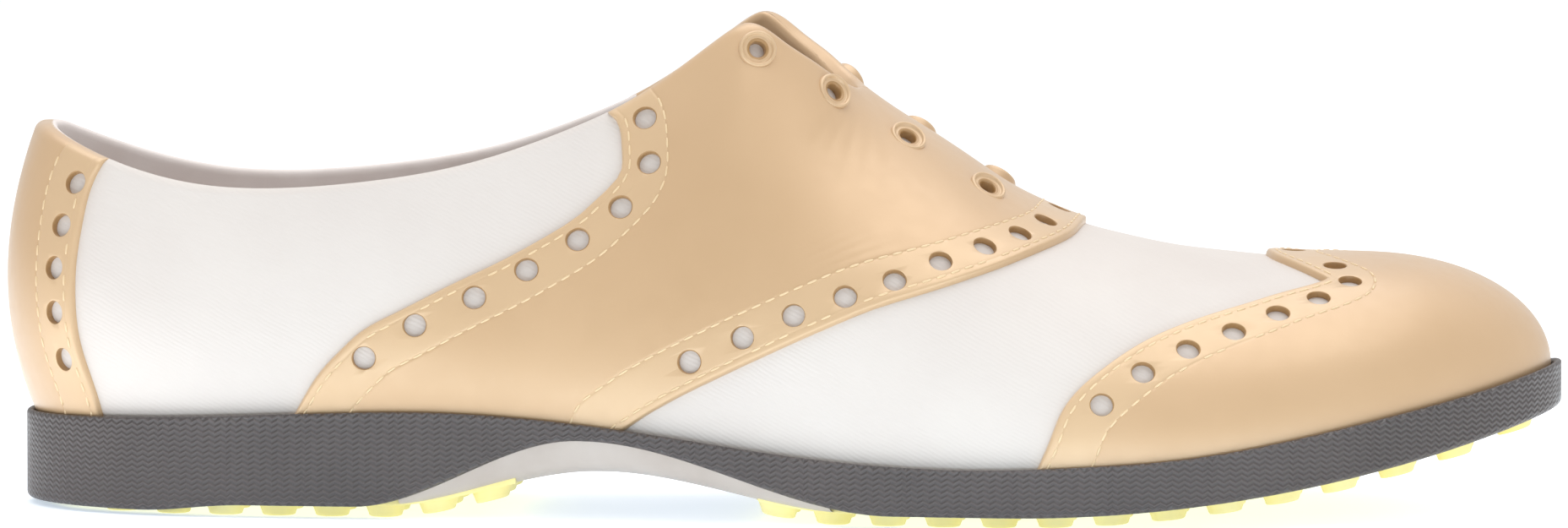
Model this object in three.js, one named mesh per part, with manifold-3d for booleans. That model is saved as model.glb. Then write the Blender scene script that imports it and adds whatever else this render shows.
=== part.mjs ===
// A right golf shoe, men's size about US 10: laceless moulded wingtip on a studded sole.
// Millimetres. +X points to the toe, +Y to the medial (big toe) side, +Z up. The origin is on the
// ground under the middle of the shoe.
//
// Every part is laid out from one closed sole outline and from one skin drawn over the last. A place
// on the outline is a phase: 0 at the heel, PI at the toe along the lateral side, and back to 2 PI
// along the medial side. A place on the skin is (p, t, side): p runs from the heel (0) to the toe (1)
// on each side, and t from the feather edge at the sole (0) to the collar or the instep ridge (1).
import * as THREE from "three";
import { mergeVertices } from "three/addons/utils/BufferGeometryUtils.js";
import Module from "manifold-3d";

const wasm = await Module();
wasm.setup();

// ---- driving dimensions -------------------------------------------------------------------------
const HEEL_X = -149; // ends of the outsole, before the heel's bulge
const TOE_X = 152.6;
const HEEL_BULGE = 1.6; // the heel end swells out this far beyond the even outline
const HEEL_Y = 2; // the outline's y at its two ends
const TOE_Y = 10.5;
const MID_X = (HEEL_X + TOE_X) / 2;
const HALF_LENGTH = (TOE_X - HEEL_X) / 2;
const GAP = 0.3; // clearance kept between parts that touch
const GROOVE_GAP = 0.6; // clearance between the overlays and the outsole's lip
const STUD_REACH = 2.4; // the studs stand this far below the tread plate
const UPPER_INSET = 3.5; // outer face of the upper, in from the outsole's edge
const UPPER_WALL = 3;
const OVERLAY_WALL = 1.1;
const OVERLAY_FACE = GAP + OVERLAY_WALL; // outer face of an overlay above the upper
const LIP_GROOVE = UPPER_INSET - OVERLAY_FACE - GROOVE_GAP; // inset of the lip's inner face
const LIP_DEPTH = 1.6; // the lip stands this far above the outsole's floor
const FEATHER_RISE = 0.5; // the upper's lower edge above the outsole's floor
const FEATHER_DROP = LIP_DEPTH - FEATHER_RISE; // and under the top of the lip
const BOARD_PLAY = 0.5; // between the lasting board and the upper
const BOARD_INSET = UPPER_INSET + UPPER_WALL + BOARD_PLAY;
const BOARD_THICK = 1.6;
const FOOTBED_INSET = BOARD_INSET + 0.6; // the footbed is cut a little smaller than the board
const FOOTBED_THICK = 4.2;
const HEEL_CUP_RISE = 3.5; // raised rim of the footbed round the heel
const STUD_DIAMETER = 7.7;
const STUD_PITCH = 11; // along the shoe
const STUD_SPREAD = 13.5; // across it
const STUD_INSET = 9.3; // centres of the outer row of studs
const HEEL_STUDS = [HEEL_X + STUD_INSET, -55]; // x of the first and last row on each tread
const FOREFOOT_STUDS = [1.6, TOE_X - STUD_INSET];
const PLATE_MARGIN = 4.6; // a tread plate's edge beyond the centres of its outer studs
const PLATE_INSET = STUD_INSET - PLATE_MARGIN;
const PLATE_THICK = 1.2;
const SHANK = [-73, 12]; // x range of the white arch piece
const PERFORATION_DIAMETER = 4.8;
const EYELET = { bore: 1.6, barrel: 2.2, flange: 3.5, height: 1 };
const THROAT = 0.536; // p where the collar ends and the instep ridge begins

// Half outlines of the sole: [x, y].
const LATERAL = [
  [-143, -17.5], [-125, -31.5], [-95, -37], [-55, -39.5], [-15, -43.5],
  [25, -51], [50, -53.3], [85, -49], [115, -38], [138, -20.5],
];
const MEDIAL = [
  [-143, 21.5], [-125, 34], [-95, 37.8], [-55, 34.5], [-20, 35],
  [15, 41.5], [50, 50.7], [80, 53.3], [112, 49], [135, 39.5],
];

// Height of the outsole's lip along the shoe: [x, z].
const LIP = [
  [-149, 18.5], [-118, 19.5], [-85, 20.8], [-70, 21.1], [-49, 20.2], [-19, 16.8], [1, 14.1],
  [21, 12.3], [41, 11.7], [61, 12.4], [81, 13.8], [100, 16.8], [119, 20.8], [139, 25.4], [152.6, 29.2],
];

// The collar's edge: [p, x, half width, z]. The flaps peak at p = 0.485.
const COLLAR = [
  [0, -147, 0, 75.4], [0.06, -144.7, 11, 74.2], [0.11, -138, 18, 71.2], [0.147, -131, 22.2, 68.6],
  [0.2086, -115, 27, 64.7], [0.257, -100, 29.2, 63.9], [0.3126, -80, 29.6, 65.4], [0.362, -60, 28, 69],
  [0.408, -40, 25.4, 75.9], [0.43, -30, 24, 80.6], [0.4526, -19, 22.6, 87.8], [0.47, -11, 21.6, 93.8],
  [0.485, -4.5, 20.4, 96.2], [0.497, 1, 18.6, 92.4], [0.508, 6, 16, 88.6], [0.518, 9.8, 12.6, 85.2],
  [0.528, 12.9, 7.2, 82.8], [THROAT, 14, 0, 82.2],
];

// The ridge over the instep and toe: its x along p, and its height [x, z].
const RIDGE_X = [
  [THROAT, 14], [0.545, 18.5], [0.56, 26.5], [0.5835, 38], [0.629, 58],
  [0.678, 77], [0.732, 93], [0.796, 104.5], [0.8875, 111], [1, 113],
];
const RIDGE_Z = [
  [14, 82.2], [18.5, 78.8], [29, 72], [36, 67.3], [43, 62.6], [50, 59], [58.7, 55.6],
  [66, 53.7], [76.7, 51.5], [86, 50.4], [95, 49.5], [103, 49.1], [115, 48.9],
];
const CENTRE_Y = [[-150, 2], [-60, 2], [14, 3], [60, 5], [100, 7], [115, 8.5]];

// How full the skin is: [p, outward and upward reach of the lower handle, outward and downward
// reach of the upper handle].
const FULLNESS = [
  [0, 8.5, 20, 7, 20], [0.147, 8, 19, 7, 17], [0.257, 5, 17, 5, 15], [0.3126, 4, 18, 5.5, 16],
  [0.362, 3.5, 19, 6.5, 18], [0.408, 3, 21, 8, 20], [0.4526, 3, 26, 10, 21], [0.485, 3, 30, 12, 19],
  [0.508, 3, 32, 14, 13], [0.528, 3, 33, 18, 4], [THROAT, 3, 33, 20, 1.5], [0.56, 3, 31, 24, 0],
  [0.6, 3, 27, 28, 0], [0.65, 2.5, 23, 30, 0], [0.7, 2, 20, 29, 0], [0.8, 1.5, 17, 27, 0],
  [0.9, 1, 14, 24, 0], [1, 1, 12.5, 20, 0],
];

// Edges of the overlays on the skin: [t, p] from the sole up.
const HEEL_COUNTER_EDGE = [
  [0, 0.143], [0.1, 0.142], [0.2, 0.138], [0.3, 0.134], [0.4, 0.1325], [0.6, 0.132], [0.75, 0.133],
  [0.9, 0.135], [1, 0.141],
];
const SADDLE_REAR_EDGE = [
  [0, 0.28], [0.1, 0.288], [0.18, 0.295], [0.29, 0.308], [0.365, 0.319], [0.42, 0.332], [0.475, 0.345],
  [0.545, 0.363], [0.6, 0.381], [0.65, 0.398], [0.69, 0.412], [0.73, 0.421], [0.76, 0.428],
  [0.815, 0.431], [0.885, 0.43], [0.96, 0.427], [1, 0.423],
];
const SADDLE_FRONT_EDGE = [
  [0, 0.4325], [0.02, 0.4365], [0.065, 0.4455], [0.1, 0.4545], [0.13, 0.4635], [0.16, 0.4745],
  [0.1875, 0.485], [0.235, 0.503], [0.2775, 0.521], [0.3225, 0.539], [0.3525, 0.55], [0.4, 0.564],
  [0.4625, 0.578], [0.5425, 0.5925], [0.64, 0.607], [0.7325, 0.618], [0.8225, 0.6255], [0.915, 0.629],
  [1, 0.631],
];
const TOE_CAP_WING = [
  [0, 0.609], [0.09, 0.616], [0.163, 0.621], [0.223, 0.628], [0.302, 0.641], [0.395, 0.659],
  [0.458, 0.675], [0.512, 0.693], [0.565, 0.714], [0.623, 0.738], [0.665, 0.76], [0.69, 0.77],
];
const TOE_CAP_PEAK = [[0.69, 0.77], [0.77, 0.759], [0.85, 0.748], [0.92, 0.74], [1, 0.738]];

// Centres of the perforations: [p, t] on each side.
const HEEL_HOLES = [[0.1215, 0.878], [0.1165, 0.713], [0.114, 0.552], [0.1145, 0.388], [0.119, 0.22]];
const SADDLE_REAR_HOLES = [
  [0.44, 0.905], [0.443, 0.758], [0.432, 0.667], [0.414, 0.61], [0.392, 0.542], [0.369, 0.46],
  [0.342, 0.36], [0.318, 0.233],
];
const SADDLE_FRONT_HOLES = [
  [0.463, 0.198], [0.485, 0.247], [0.506, 0.298], [0.528, 0.34], [0.549, 0.393], [0.568, 0.478],
  [0.586, 0.58], [0.601, 0.69], [0.612, 0.815],
];
const TOE_CAP_HOLES = [
  [0.639, 0.182], [0.658, 0.283], [0.68, 0.365], [0.704, 0.43], [0.73, 0.503], [0.758, 0.568],
  [0.787, 0.657], [0.785, 0.785],
];
const RIDGE_HOLES = [[0.618, 1], [0.765, 1]]; // one on the ridge in front of each V
const EYELETS = [[0.486, 0.915], [0.518, 0.9], [0.554, 0.83], [0.586, 0.835]];

const lerp = (a, b, k) => a + (b - a) * k;

// n even steps from a to b, both ends included.
const steps = (a, b, n) => Array.from({ length: n + 1 }, (_, i) => lerp(a, b, i / n));

// Stations along p and t. The ones that the flaps and the throat turn on are listed, not even.
const UPPER_P = [
  0, 0.03, 0.06, 0.09, 0.12, 0.15, 0.18, 0.22, 0.26, 0.3, 0.34, 0.38, 0.41, 0.4325, 0.4526, 0.47, 0.485,
  0.497, 0.508, 0.518, 0.528, THROAT, 0.547, 0.56, 0.585, 0.61, 0.64, 0.67, 0.7, 0.73, 0.76, 0.79,
  0.82, 0.85, 0.88, 0.91, 0.94, 0.97, 1,
];
const UPPER_T = steps(0, 1, 9);
const SOLE_STATIONS = 40;
const PLATE_STATIONS = 20;
const STUD_SIDES = 6;
const PERFORATION_SIDES = 6;
const EYELET_SIDES = 9;
const BORE_LENGTH = 4 * UPPER_WALL; // of the cutters that go right through the wall

// ---- colours ------------------------------------------------------------------------------------
const WHITE = { color: 0xeeebe8, roughness: 0.55, metalness: 0 };
const GOLD = { color: 0xd0ad82, roughness: 0.45, metalness: 0.1 };
const SIDEWALL = { color: 0x5f5553, roughness: 0.75, metalness: 0 };
const STUD_YELLOW = { color: 0xf2e08a, roughness: 0.5, metalness: 0 };
const BOARD_GREY = { color: 0xb9b2a6, roughness: 0.9, metalness: 0 };
const FOOTBED_GREY = { color: 0xd6cccb, roughness: 0.85, metalness: 0 };

// ---- curves -------------------------------------------------------------------------------------
// Natural cubic through [x, y] points, held flat beyond its ends.
function spline(points) {
  const x = points.map((q) => q[0]);
  const y = points.map((q) => q[1]);
  const n = x.length;
  const bend = new Array(n).fill(0);
  const upper = new Array(n).fill(0);
  for (let i = 1; i < n - 1; i++) {
    const back = x[i] - x[i - 1];
    const ahead = x[i + 1] - x[i];
    const pivot = 2 * (back + ahead) - back * upper[i - 1];
    const jump = 6 * ((y[i + 1] - y[i]) / ahead - (y[i] - y[i - 1]) / back);
    upper[i] = ahead / pivot;
    bend[i] = (jump - back * bend[i - 1]) / pivot;
  }
  for (let i = n - 2; i > 0; i--) bend[i] -= upper[i] * bend[i + 1];
  return (at) => {
    const q = Math.min(Math.max(at, x[0]), x[n - 1]);
    let k = 0;
    while (k < n - 2 && q > x[k + 1]) k++;
    const h = x[k + 1] - x[k];
    const a = (x[k + 1] - q) / h;
    const b = 1 - a;
    return a * y[k] + b * y[k + 1] + ((a ** 3 - a) * bend[k] + (b ** 3 - b) * bend[k + 1]) * h * h / 6;
  };
}

const column = (rows, i) => spline(rows.map((row) => [row[0], row[i]]));

function easeBetween(from, to, x) {
  const k = Math.min(Math.max((x - from) / (to - from), 0), 1);
  return k * k * (3 - 2 * k);
}

// ---- the sole outline ---------------------------------------------------------------------------
const phaseAt = (x) => Math.acos(-(x - MID_X) / HALF_LENGTH);

const loop = [
  [0, HEEL_Y],
  ...LATERAL.map(([x, y]) => [phaseAt(x), y]),
  [Math.PI, TOE_Y],
  ...MEDIAL.toReversed().map(([x, y]) => [2 * Math.PI - phaseAt(x), y]),
];
const turns = [-1, 0, 1].flatMap((turn) => loop.map(([a, y]) => [a + 2 * Math.PI * turn, y]));
const outlineY = spline(turns);

function outlinePoint(phase) {
  const fromHeel = Math.abs(Math.atan2(Math.sin(phase), Math.cos(phase)));
  const bulge = HEEL_BULGE * (1 - easeBetween(0, 0.5, fromHeel));
  return new THREE.Vector2(MID_X - HALF_LENGTH * Math.cos(phase) - bulge, outlineY(phase));
}

// Outward direction of the outline in plan.
function outlineNormal(phase) {
  const step = 1e-4;
  const along = outlinePoint(phase + step).sub(outlinePoint(phase - step));
  return new THREE.Vector2(along.y, -along.x).normalize();
}

const outline = (phase, inset) => outlinePoint(phase).addScaledVector(outlineNormal(phase), -inset);

// ---- heights along the shoe ---------------------------------------------------------------------
const lipZ = spline(LIP);
const toeSpring = (x) => 17.7 * (Math.max(x - 48, 0) / 104) ** 2;
const archWave = (x, rise, start, peak, end) =>
  rise * easeBetween(start, peak, x) * (1 - easeBetween(peak + 1, end, x));
const bottomZ = (x) => STUD_REACH + archWave(x, 6.9, -76, -34, 15) + toeSpring(x); // tread face
const heelSkirt = (x) => 1.4 * (1 - easeBetween(-125, -104, x)); // the sidewall reaches lower behind
const sideFootRise = (x) => archWave(x, 13.4, -82, -38, 24) + toeSpring(x);
const sideBottomZ = (x) => STUD_REACH - heelSkirt(x) + sideFootRise(x);

// ---- the skin over the last ---------------------------------------------------------------------
const [collarX, collarHalf, collarZ] = [1, 2, 3].map((i) => column(COLLAR, i));
const [lowOut, lowUp, highOut, highDown] = [1, 2, 3, 4].map((i) => column(FULLNESS, i));
const ridgeX = spline(RIDGE_X);
const ridgeZ = spline(RIDGE_Z);
const centreY = spline(CENTRE_Y);
const ridgeSlope = (x) => ridgeZ(x + 0.5) - ridgeZ(x - 0.5);

// Top end of the skin at p: on the collar, or on the ridge in front of the throat.
function topPoint(p, side) {
  if (p >= THROAT) {
    const x = ridgeX(p);
    return new THREE.Vector3(x, centreY(x), ridgeZ(x));
  }
  const x = collarX(p);
  return new THREE.Vector3(x, centreY(x) + side * Math.max(collarHalf(p), 0), collarZ(p));
}

// Point of the skin: a cubic from the feather edge to the top. side is -1 lateral, +1 medial.
function skin(p, t, side) {
  const phase = side < 0 ? Math.PI * p : 2 * Math.PI - Math.PI * p;
  const foot = outline(phase, UPPER_INSET);
  const away = outlineNormal(phase);
  const top = topPoint(p, side);
  const fanned = new THREE.Vector2(foot.x - top.x, foot.y - top.y).normalize();
  const out = away.clone().lerp(fanned, easeBetween(0.3, 0.5, p)).normalize();
  const start = new THREE.Vector3(foot.x, foot.y, lipZ(foot.x) - FEATHER_DROP);
  const low = start.clone().add(new THREE.Vector3(away.x * lowOut(p), away.y * lowOut(p), lowUp(p)));
  const high = top.clone().add(new THREE.Vector3(out.x * highOut(p), out.y * highOut(p), 0));
  high.z -= Math.max(highDown(p), 0);
  high.z += ridgeSlope(Math.max(top.x, RIDGE_Z[0][0])) * easeBetween(0.5, THROAT, p) * (high.x - top.x);
  const s = 1 - t;
  return start.multiplyScalar(s ** 3)
    .addScaledVector(low, 3 * t * s * s)
    .addScaledVector(high, 3 * t * t * s)
    .addScaledVector(top, t ** 3);
}

// Outward normal of the skin. The two sides agree on the ridge and down the heel and toe, and the
// wall's cut edges at the feather line and the collar stay square to it in plan.
function skinNormal(p, t, side) {
  if (p >= THROAT && t > 1 - 1e-9) return new THREE.Vector3(-ridgeSlope(ridgeX(p)), 0, 1).normalize();
  const step = 1e-3;
  const pq = Math.min(Math.max(p, step), 1 - step);
  const tq = Math.min(Math.max(t, step), 1 - step);
  const normalOn = (s) => {
    const alongP = skin(pq + step, tq, s).sub(skin(pq - step, tq, s));
    const alongT = skin(pq, tq + step, s).sub(skin(pq, tq - step, s));
    return alongP.cross(alongT).multiplyScalar(-s).normalize();
  };
  const normal = normalOn(side);
  if (p < step || p > 1 - step) normal.add(normalOn(-side)).normalize();
  const level = Math.max(1 - t / 0.1, 0);
  const square = p < THROAT ? Math.max((t - 0.9) / 0.1, 0) * (1 - easeBetween(0.47, THROAT, p)) : 0;
  normal.z *= 1 - Math.max(level, square);
  return normal.normalize();
}

const raised = (p, t, side, height) => skin(p, t, side).addScaledVector(skinNormal(p, t, side), height);

// ---- solids -------------------------------------------------------------------------------------
// Collects triangles, and drops the ones whose corners coincide.
class Facets {
  corners = [];

  triangle(a, b, c) {
    const same = (u, v) => u.distanceToSquared(v) < 1e-8;
    if (same(a, b) || same(b, c) || same(c, a)) return;
    this.corners.push(a, b, c);
  }

  quad(a, b, c, d) {
    this.triangle(a, b, c);
    this.triangle(a, c, d);
  }

  // One closed geometry, turned to face outwards.
  geometry() {
    let volume = 0;
    for (let i = 0; i < this.corners.length; i += 3) {
      const [a, b, c] = this.corners.slice(i, i + 3);
      volume += a.dot(b.clone().cross(c));
    }
    if (volume < 0) this.corners.reverse();
    return mergeVertices(new THREE.BufferGeometry().setFromPoints(this.corners), 1e-3);
  }
}

// A wall over part of the skin on both sides of the shoe. pAt(u, t) maps the patch's own u to p.
// Its edges are walled along the sole, along u = 0 and u = 1 where asked, and along the top as far
// as u = collarEnd; beyond that, the two sides meet on the ridge.
function skinWall({ pAt, us, ts, outer, inner, startWall, endWall, collarEnd }) {
  const facets = new Facets();
  for (const side of [-1, 1]) {
    const grid = (height) => us.map((u) => ts.map((t) => raised(pAt(u, t), t, side, height)));
    const [face, back] = [grid(outer), grid(inner)];
    const quad = (a, b, c, d) => (side < 0 ? facets.quad(a, b, c, d) : facets.quad(d, c, b, a));
    const last = ts.length - 1;
    for (let i = 0; i + 1 < us.length; i++) {
      for (let j = 0; j < last; j++) {
        quad(face[i][j], face[i + 1][j], face[i + 1][j + 1], face[i][j + 1]);
        quad(back[i][j], back[i][j + 1], back[i + 1][j + 1], back[i + 1][j]);
      }
      quad(face[i][0], back[i][0], back[i + 1][0], face[i + 1][0]);
      if (us[i + 1] <= collarEnd + 1e-9) {
        quad(face[i][last], face[i + 1][last], back[i + 1][last], back[i][last]);
      }
    }
    for (let j = 0; j < last; j++) {
      const end = us.length - 1;
      if (startWall) quad(face[0][j], face[0][j + 1], back[0][j + 1], back[0][j]);
      if (endWall) quad(face[end][j], back[end][j], back[end][j + 1], face[end][j + 1]);
    }
  }
  return facets.geometry();
}

// The upper's outer form as a solid, grown by the gap and carried on below the feather edge and above
// the collar: what the overlays are hollowed with, so that they lie over the upper's facets.
function upperForm() {
  const overrun = 4;
  const facets = new Facets();
  const columnOf = (p, side) => {
    const points = UPPER_T.map((t) => raised(p, t, side, GAP));
    const rise = overrun * (1 - easeBetween(0.5, THROAT, p));
    const above = points.at(-1).clone().add(new THREE.Vector3(0, 0, rise));
    const below = points[0].clone().sub(new THREE.Vector3(0, 0, overrun));
    return [below, ...points, above];
  };
  const [lateral, medial] = [-1, 1].map((side) => UPPER_P.map((p) => columnOf(p, side)));
  for (let i = 0; i + 1 < UPPER_P.length; i++) {
    const [a, b, c, d] = [lateral[i], lateral[i + 1], medial[i + 1], medial[i]];
    for (let j = 0; j + 1 < a.length; j++) {
      facets.quad(a[j], b[j], b[j + 1], a[j + 1]);
      facets.quad(d[j + 1], c[j + 1], c[j], d[j]);
    }
    facets.quad(a[0], d[0], c[0], b[0]);
    facets.quad(a.at(-1), b.at(-1), c.at(-1), d.at(-1));
  }
  return facets.geometry();
}

// A slab that follows the sole outline. Each ring is { inset, z(x) }, from the top face to the
// bottom face; the lateral and medial halves of a ring are joined straight across.
function soleSlab(phases, rings) {
  const facets = new Facets();
  const sectionAt = (phase) => {
    const half = (at) =>
      rings.map(({ inset, z }) => {
        const { x, y } = outline(at, inset);
        return new THREE.Vector3(x, y, z(x));
      });
    return [...half(phase), ...half(2 * Math.PI - phase).toReversed()];
  };
  const sections = phases.map(sectionAt);
  const n = sections[0].length;
  for (let i = 0; i + 1 < sections.length; i++) {
    const [a, b] = [sections[i], sections[i + 1]];
    for (let k = 0; k < n; k++) facets.quad(a[k], a[(k + 1) % n], b[(k + 1) % n], b[k]);
  }
  const cap = (section, turn) => {
    for (let k = 0; k + 1 < rings.length; k++) {
      const corners = [section[k], section[n - 1 - k], section[n - 2 - k], section[k + 1]];
      facets.quad(...(turn ? corners.toReversed() : corners));
    }
  };
  cap(sections[0], false);
  cap(sections.at(-1), true);
  return facets.geometry();
}

// ---- boolean cuts and joins ---------------------------------------------------------------------
function toSolid(geometry) {
  const bare = geometry.clone();
  bare.deleteAttribute("normal");
  bare.deleteAttribute("uv");
  const merged = mergeVertices(bare, 1e-4);
  const vertProperties = new Float32Array(merged.attributes.position.array);
  const triVerts = new Uint32Array(merged.index.array);
  return new wasm.Manifold(new wasm.Mesh({ numProp: 3, vertProperties, triVerts }));
}

function toGeometry(solid) {
  const mesh = solid.getMesh();
  const geometry = new THREE.BufferGeometry();
  geometry.setAttribute("position", new THREE.BufferAttribute(mesh.vertProperties, 3));
  geometry.setIndex(new THREE.BufferAttribute(mesh.triVerts, 1));
  return geometry;
}

function cut(geometry, tools) {
  let solid = toSolid(geometry);
  for (const tool of tools) solid = solid.subtract(toSolid(tool));
  return toGeometry(solid);
}

// ---- the upper and its overlays -----------------------------------------------------------------
const Z_AXIS = new THREE.Vector3(0, 0, 1);

// Moves a shape made about +Z to stand on the skin, its +Z along the outward normal.
function standOnSkin(geometry, [p, t], side) {
  const turn = new THREE.Quaternion().setFromUnitVectors(Z_AXIS, skinNormal(p, t, side));
  return geometry.applyQuaternion(turn).translate(...skin(p, t, side));
}

// A round cutter right through the upper and its overlay.
function drill([p, t], side, diameter, sides) {
  const bit = new THREE.CylinderGeometry(diameter / 2, diameter / 2, BORE_LENGTH, sides);
  return standOnSkin(bit.rotateX(Math.PI / 2), [p, t], side);
}

const onBothSides = (places, diameter, sides) =>
  places.flatMap((place) => [-1, 1].map((side) => drill(place, side, diameter, sides)));

const perforate = (places) => onBothSides(places, PERFORATION_DIAMETER, PERFORATION_SIDES);
const [saddleRidgeHole, toeRidgeHole] = RIDGE_HOLES.map((place) =>
  drill(place, 1, PERFORATION_DIAMETER, PERFORATION_SIDES));
const heelDrills = perforate(HEEL_HOLES);
const saddleDrills = [...perforate([...SADDLE_REAR_HOLES, ...SADDLE_FRONT_HOLES]), saddleRidgeHole];
const toeDrills = [...perforate(TOE_CAP_HOLES), toeRidgeHole];
const eyeletDrills = onBothSides(EYELETS, 2 * (EYELET.barrel + GAP), EYELET_SIDES);

function upperShell() {
  const wall = skinWall({
    pAt: (u) => u,
    us: UPPER_P,
    ts: UPPER_T,
    outer: 0,
    inner: -UPPER_WALL,
    startWall: false,
    endWall: false,
    collarEnd: THROAT,
  });
  return cut(wall, [...heelDrills, ...saddleDrills, ...toeDrills, ...eyeletDrills]);
}

const form = upperForm();

const overlayDefaults = {
  ts: UPPER_T,
  outer: OVERLAY_FACE,
  inner: -0.5 * UPPER_WALL,
  startWall: false,
  endWall: false,
  collarEnd: -1,
};

function heelCounter() {
  const edge = spline(HEEL_COUNTER_EDGE);
  const wall = skinWall({
    ...overlayDefaults,
    pAt: (u, t) => u * edge(t),
    us: steps(0, 1, 6),
    endWall: true,
    collarEnd: 1,
  });
  return cut(wall, [form, ...heelDrills]);
}

function saddle() {
  const [rear, front] = [SADDLE_REAR_EDGE, SADDLE_FRONT_EDGE].map(spline);
  const margin = 0.04; // takes in the stations just outside the edges
  const wall = skinWall({
    ...overlayDefaults,
    pAt: (u, t) => Math.min(Math.max(u, rear(t)), front(t)),
    us: UPPER_P.filter((p) => p > rear(0) - margin && p < front(1) + margin),
    startWall: true,
    endWall: true,
    collarEnd: THROAT,
  });
  return cut(wall, [form, ...saddleDrills, ...eyeletDrills]);
}

function toeCap() {
  const [wing, peak] = [TOE_CAP_WING, TOE_CAP_PEAK].map(spline);
  const corner = TOE_CAP_PEAK[0][0];
  const edge = (t) => (t < corner ? wing(t) : peak(t));
  const wall = skinWall({
    ...overlayDefaults,
    ts: [...steps(0, corner, 7), ...steps(corner, 1, 4).slice(1)],
    pAt: (u, t) => lerp(edge(t), 1, u),
    us: steps(0, 1, 8),
    startWall: true,
  });
  return cut(wall, [form, ...toeDrills]);
}

// A grommet: a barrel through the saddle and the upper, under a rounded flange.
function eyelet(place, side) {
  const { bore, barrel, flange, height } = EYELET;
  const seat = OVERLAY_FACE + GAP;
  const profile = [
    [bore, -UPPER_WALL], [barrel, -UPPER_WALL], [barrel, seat], [flange, seat],
    [flange, seat + 0.5 * height], [flange - 0.5, seat + height], [barrel, seat + height],
    [bore, seat + 0.6 * height], [bore, -UPPER_WALL],
  ];
  const ring = new THREE.LatheGeometry(profile.map(([r, z]) => new THREE.Vector2(r, z)), EYELET_SIDES);
  return standOnSkin(ring.rotateX(Math.PI / 2), place, side);
}

// ---- the sole -----------------------------------------------------------------------------------
const wholeSole = steps(0, Math.PI, SOLE_STATIONS);

// Stations of a tread plate grown by gap: it runs round the heel or the toe, and ends square at the
// waist.
function platePhases([first, last], gap) {
  const start = first < MID_X - HALF_LENGTH / 2 ? 0 : phaseAt(first - PLATE_MARGIN - gap);
  const end = last > MID_X + HALF_LENGTH / 2 ? Math.PI : phaseAt(last + PLATE_MARGIN + gap);
  return steps(start, end, PLATE_STATIONS);
}

// Space that a tread plate fills, grown by the gap and open below.
function platePocket(studRows) {
  return soleSlab(platePhases(studRows, GAP), [
    { inset: PLATE_INSET - GAP, z: (x) => bottomZ(x) + PLATE_THICK + GAP },
    { inset: PLATE_INSET - GAP, z: (x) => bottomZ(x) - STUD_REACH },
  ]);
}

const pockets = [HEEL_STUDS, FOREFOOT_STUDS].map(platePocket);

function outsole() {
  const edge = [
    { inset: LIP_GROOVE, z: (x) => lipZ(x) - LIP_DEPTH },
    { inset: LIP_GROOVE, z: lipZ },
    { inset: 0.6, z: lipZ },
    { inset: 0, z: (x) => lipZ(x) - 0.6 },
    { inset: 0, z: (x) => sideBottomZ(x) + 1 },
    { inset: 0.8, z: sideBottomZ },
  ];
  return cut(soleSlab(wholeSole, edge), pockets);
}

// The white arch piece under the waist, with a hollow cove along each side.
function archShank() {
  const coveZ = (share) => (x) => lerp(sideBottomZ(x) - GAP, bottomZ(x), share);
  const edge = [
    { inset: 1.2, z: coveZ(0) },
    { inset: 2.4, z: coveZ(0.45) },
    { inset: 5, z: coveZ(0.85) },
    { inset: 9, z: coveZ(1) },
  ];
  const [start, end] = SHANK.map(phaseAt);
  const stations = wholeSole.filter((phase) => phase > start && phase < end);
  return cut(soleSlab(stations, edge), pockets);
}

// y of the outline's inset copy at x, on the lateral (-1) or medial (+1) side, found by halving.
function insetY(x, inset, side) {
  const at = (phase) => outline(side < 0 ? phase : 2 * Math.PI - phase, inset);
  let [low, high] = [0, Math.PI];
  for (let i = 0; i < 40; i++) {
    const middle = (low + high) / 2;
    if (at(middle).x < x) low = middle;
    else high = middle;
  }
  return at(low).y;
}

// Centres of the studs on a tread: even rows along the shoe, each spread evenly across it.
function studCentres([first, last]) {
  const rows = steps(first, last, Math.round((last - first) / STUD_PITCH));
  return rows.flatMap((x) => {
    const [low, high] = [-1, 1].map((side) => insetY(x, STUD_INSET, side));
    const across = Math.round((high - low) / STUD_SPREAD);
    if (across < 1) return [[x, (low + high) / 2]];
    return steps(low, high, across).map((y) => [x, y]);
  });
}

// Lifts each point of a shape by the height of the tread face over it.
function followSole(geometry) {
  const place = geometry.attributes.position;
  for (let i = 0; i < place.count; i++) place.setZ(i, place.getZ(i) + bottomZ(place.getX(i)));
  return geometry;
}

// A tread plate with its studs: short round pegs whose flat ends stand on the ground.
function tread(studRows) {
  const plate = soleSlab(platePhases(studRows, 0), [
    { inset: PLATE_INSET, z: (x) => bottomZ(x) + PLATE_THICK },
    { inset: PLATE_INSET, z: bottomZ },
  ]);
  const length = STUD_REACH + 0.6 * PLATE_THICK;
  let solid = toSolid(plate);
  for (const [x, y] of studCentres(studRows)) {
    const stud = new THREE.CylinderGeometry(STUD_DIAMETER / 2, STUD_DIAMETER / 2 - 0.5, length, STUD_SIDES);
    stud.rotateX(Math.PI / 2).translate(x, y, length / 2 - STUD_REACH);
    solid = solid.add(toSolid(followSole(stud)));
  }
  return toGeometry(solid);
}

function lastingBoard() {
  const floor = (x) => lipZ(x) - LIP_DEPTH + GAP;
  return soleSlab(wholeSole, [
    { inset: BOARD_INSET, z: (x) => floor(x) + BOARD_THICK },
    { inset: BOARD_INSET, z: floor },
  ]);
}

// The removable footbed: a foam sheet with a raised cup round the heel.
const footbedFloor = (x) => lipZ(x) - LIP_DEPTH + BOARD_THICK + 2 * GAP;

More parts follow.
